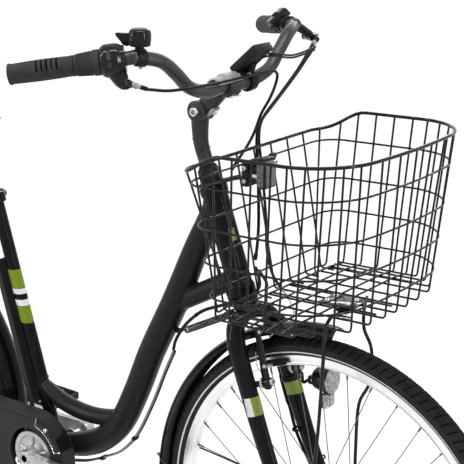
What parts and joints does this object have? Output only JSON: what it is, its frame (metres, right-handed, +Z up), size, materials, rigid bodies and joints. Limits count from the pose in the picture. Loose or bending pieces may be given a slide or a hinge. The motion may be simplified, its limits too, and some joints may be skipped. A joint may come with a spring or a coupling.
{
  "type": "electric bicycle",
  "caption": "Step-through city e-bike with a front wire basket, rear rack battery, hub motor, full mudguards, chain case, upright bar and centre stand.",
  "frame": {"origin": "on the ground under the middle of the bicycle", "axes": "+X forward, +Y to the rider's left, +Z up"},
  "size_m": [1.8369, 0.6863, 1.2169],
  "materials": {
    "black_paint": "gloss black paint",
    "black_plastic": "satin black plastic",
    "matte_case": "matte warm dark grey",
    "rubber": "matte",
    "tyre_rubber": "matte with a white stripe",
    "alloy": "satin",
    "bar_coating": "satin dark grey",
    "steel": "plain",
    "cable": "satin black sheath",
    "coated_wire": "black coating",
    "clear_lens": "clear, ribbed",
    "red_lens": "red, ribbed",
    "saddle_cover": "black grained cover"
  },
  "bodies": {
    "frame": {"head_tube": "black_paint", "down_tube": "black_paint", "seat_tube": "black_paint", "bottom_bracket_shell": "black_paint", "chain_stays": "black_paint", "seat_stays": "black_paint", "chain_case": "matte_case", "chain": "steel", "rear_mudguard": "black_paint", "rear_rack": "black_paint", "rear_light": "red_lens", "down_tube_cables": "cable", "steering_spring": "steel", "loom_lower": "cable"},
    "fork": {"fork": "black_paint", "headset_upper": "black_plastic", "stem_quill": "bar_coating", "front_axle": "steel", "front_mudguard": "black_paint", "basket": "coated_wire", "basket_bracket": "black_plastic", "basket_stay": "coated_wire", "motor_cable": "cable"},
    "bars": {"stem_head": "bar_coating", "handlebar": "bar_coating", "grip_left": "rubber", "grip_right": "rubber", "shifter_housing": "black_plastic", "bell": "black_plastic", "control_switch": "black_plastic", "lever_bracket": "black_plastic", "shift_cable": "cable", "brake_cable": "cable", "wire_loom": "cable"},
    "front_wheel": {"front_tyre": "tyre_rubber", "front_rim": "alloy", "front_spokes": "steel", "front_hub_motor": "bar_coating"},
    "rear_wheel": {"rear_tyre": "tyre_rubber", "rear_rim": "alloy", "rear_spokes": "steel", "rear_hub": "alloy"},
    "cranks": {"crank_right": "alloy", "crank_left": "alloy"},
    "pedal_left": {"pedal_left": "rubber"},
    "pedal_right": {"pedal_right": "rubber"},
    "rear_sprocket": {"rear_sprocket": "steel"},
    "brake_lever": {"brake_lever": "alloy"},
    "brake_arm_left": {"brake_arm_left": "black_plastic"},
    "brake_arm_right": {"brake_arm_right": "black_plastic"},
    "shifter_twist": {"shifter_twist": "rubber"},
    "bell_lever": {"bell_lever": "black_plastic"},
    "display": {"display": "black_plastic"},
    "assist_button": {"assist_button": "rubber"},
    "battery": {"battery": "black_plastic"},
    "seat_post": {"seat_post": "alloy"},
    "saddle": {"saddle": "saddle_cover"},
    "headlight": {"headlight": "black_plastic", "headlight_lens": "clear_lens"},
    "centre_stand": {"centre_stand": "black_paint"}
  },
  "joints": [
    {"name": "steering", "type": "hinge", "parent": "frame", "child": "fork", "pos_m": [0.35809, 0, 0.80463], "axis": [-0.3338, 0, 0.9426], "range_deg": [-60, 60], "stiffness_Nm_per_rad": 4, "deforming": ["steering_spring", "loom_lower"]},
    {"name": "stem_angle", "type": "hinge", "parent": "fork", "child": "bars", "pos_m": [0.2923, 0, 1.05], "axis": [0, 1, 0], "range_deg": [-20, 25], "deforming": ["shift_cable", "brake_cable", "wire_loom"]},
    {"name": "front_wheel_spin", "type": "hinge", "parent": "fork", "child": "front_wheel", "pos_m": [0.5693, 0, 0.349], "axis": [0, 1, 0], "continuous": true},
    {"name": "rear_wheel_spin", "type": "hinge", "parent": "frame", "child": "rear_wheel", "pos_m": [-0.5477, 0, 0.349], "axis": [0, 1, 0], "continuous": true},
    {"name": "crank_spin", "type": "hinge", "parent": "frame", "child": "cranks", "pos_m": [-0.0827, 0, 0.326], "axis": [0, 1, 0], "continuous": true},
    {"name": "pedal_left_spin", "type": "hinge", "parent": "cranks", "child": "pedal_left", "pos_m": [-0.2527, 0.15, 0.326], "axis": [0, 1, 0], "continuous": true},
    {"name": "pedal_right_spin", "type": "hinge", "parent": "cranks", "child": "pedal_right", "pos_m": [0.0873, -0.15, 0.326], "axis": [0, 1, 0], "continuous": true},
    {"name": "rear_sprocket_spin", "type": "hinge", "parent": "frame", "child": "rear_sprocket", "pos_m": [-0.5477, 0, 0.349], "axis": [0, 1, 0], "continuous": true},
    {"name": "brake_lever_pull", "type": "hinge", "parent": "bars", "child": "brake_lever", "pos_m": [0.3513, 0.248, 1.148], "axis": [0, 0, 1], "range_deg": [0, 18], "stiffness_Nm_per_rad": 0.6},
    {"name": "brake_arm_left_swing", "type": "hinge", "parent": "fork", "child": "brake_arm_left", "pos_m": [0.46446, 0.043, 0.6121], "axis": [0.9426, 0, 0.3338], "range_deg": [0, 3]},
    {"name": "brake_arm_right_swing", "type": "hinge", "parent": "fork", "child": "brake_arm_right", "pos_m": [0.46446, -0.043, 0.6121], "axis": [-0.9426, 0, -0.3338], "range_deg": [0, 3]},
    {"name": "shifter_turn", "type": "hinge", "parent": "bars", "child": "shifter_twist", "pos_m": [0.275, -0.25587, 1.16281], "axis": [0.7816, 0.6091, 0.1345], "range_deg": [0, 110]},
    {"name": "bell_lever_swing", "type": "hinge", "parent": "bars", "child": "bell_lever", "pos_m": [0.31418, -0.20529, 1.19792], "axis": [0, 0, 1], "range_deg": [0, 30], "stiffness_Nm_per_rad": 0.02},
    {"name": "display_tilt", "type": "hinge", "parent": "bars", "child": "display", "pos_m": [0.3498, 0.055, 1.0988], "axis": [0.0299, 0.9978, 0.0599], "range_deg": [-15, 15]},
    {"name": "assist_button_press", "type": "slide", "parent": "bars", "child": "assist_button", "axis": [0.4951, 0.4746, -0.7278], "range_m": [0, 0.0015], "stiffness_N_per_m": 400},
    {"name": "battery_slide", "type": "slide", "parent": "frame", "child": "battery", "axis": [-1, 0, 0], "range_m": [0, 0.4]},
    {"name": "seat_post_slide", "type": "slide", "parent": "frame", "child": "seat_post", "axis": [-0.2874, 0, 0.9578], "range_m": [-0.06, 0.12]},
    {"name": "saddle_tilt", "type": "hinge", "parent": "seat_post", "child": "saddle", "pos_m": [-0.2612, 0, 0.93], "axis": [0, 1, 0], "range_deg": [-10, 10]},
    {"name": "headlight_tilt", "type": "hinge", "parent": "fork", "child": "headlight", "pos_m": [0.4793, 0.088, 0.583], "axis": [0, 1, 0], "range_deg": [-15, 15]},
    {"name": "stand_fold", "type": "hinge", "parent": "frame", "child": "centre_stand", "pos_m": [-0.1427, 0, 0.222], "axis": [0, 1, 0], "range_deg": [0, 78]}
  ],
  "couplings": [
    {"joint": "rear_sprocket_spin", "follows": "crank_spin", "ratio": 2},
    {"joint": "brake_arm_left_swing", "follows": "brake_lever_pull", "ratio": 0.165},
    {"joint": "brake_arm_right_swing", "follows": "brake_lever_pull", "ratio": 0.165}
  ]
}
